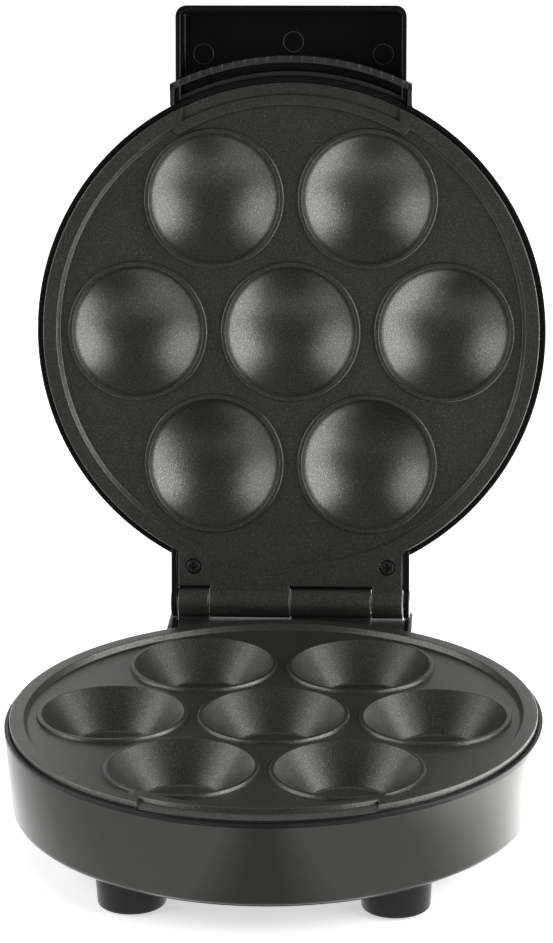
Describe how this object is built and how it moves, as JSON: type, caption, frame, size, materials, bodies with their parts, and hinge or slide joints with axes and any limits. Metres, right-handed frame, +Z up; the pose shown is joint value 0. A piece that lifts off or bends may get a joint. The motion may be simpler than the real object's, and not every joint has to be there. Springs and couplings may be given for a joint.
{
  "type": "donut maker",
  "caption": "Round electric donut-ball maker: cast wells in base and hinged lid, metal-banded base on feet, lid standing open, wide hollow handle.",
  "frame": {"origin": "on the table, under the centre of the whole object's box with the lid open; the base's own centre is 41 mm in front of it (towards -Y)", "axes": "+Z up, -Y towards the handle side and the person using it, X along the hinge pin"},
  "size_m": [0.2148, 0.2975, 0.304],
  "materials": {
    "nonstick_cast": "dark charcoal speckled non-stick coating, satin",
    "black_plastic": "black moulded phenolic, semi-gloss",
    "handle_plastic": "black moulded phenolic, semi-gloss",
    "gunmetal_shell": "warm gunmetal metallic finish, satin",
    "cover_steel": "black powder-coated pressed steel",
    "pin_steel": "turned steel",
    "fastener": "zinc-plated steel",
    "black_fastener": "black-oxide steel",
    "heater_sheath": "oxidised stainless sheath",
    "bright_sheet": "bright aluminised sheet",
    "ceramic": "unglazed steatite, matt",
    "lead_sleeve": "glass-fibre sleeve, matt",
    "gland_plastic": "black moulded nylon, matt",
    "foot_plastic": "black moulded plastic, satin",
    "pad_rubber": "black rubber, matt",
    "red_lens": "clear red acrylic",
    "green_lens": "clear green acrylic",
    "lamp_glass": "clear glass"
  },
  "bodies": {
    "base": {"lower_plate": "nonstick_cast", "hinge_pin": "pin_steel", "base_bezel": "black_plastic", "base_shell": "gunmetal_shell", "bottom_cover": "cover_steel", "cover_screws": "fastener", "foot_screws": "fastener", "lower_plate_screws": "fastener", "lower_heater": "heater_sheath", "lower_reflector": "bright_sheet", "lower_reflector_screws": "fastener", "lower_thermostat": "ceramic", "terminal_block": "ceramic", "heater_leads": "lead_sleeve", "thermal_fuse": "bright_sheet", "fuse_clip": "bright_sheet", "cord_gland": "gland_plastic", "foot_front_left": "foot_plastic", "foot_pad_front_left": "pad_rubber", "foot_front_right": "foot_plastic", "foot_pad_front_right": "pad_rubber", "foot_rear_left": "foot_plastic", "foot_pad_rear_left": "pad_rubber", "foot_rear_right": "foot_plastic", "foot_pad_rear_right": "pad_rubber"},
    "lid": {"upper_plate": "nonstick_cast", "lid_bezel": "black_plastic", "lid_shell": "gunmetal_shell", "upper_plate_screws": "fastener", "tab_screws": "black_fastener", "upper_heater": "heater_sheath", "upper_reflector": "bright_sheet", "upper_reflector_screws": "fastener", "upper_thermostat": "ceramic", "handle": "handle_plastic", "heat_guard": "handle_plastic", "guard_screws": "fastener", "handle_screws": "fastener", "power_lens": "red_lens", "power_lamp": "lamp_glass", "ready_lens": "green_lens", "ready_lamp": "lamp_glass"}
  },
  "joints": [
    {"name": "lid_hinge", "type": "hinge", "parent": "base", "child": "lid", "pos_m": [0, 0.07363, 0.0575], "axis": [1, 0, 0], "range_deg": [0, 101.8]}
  ]
}
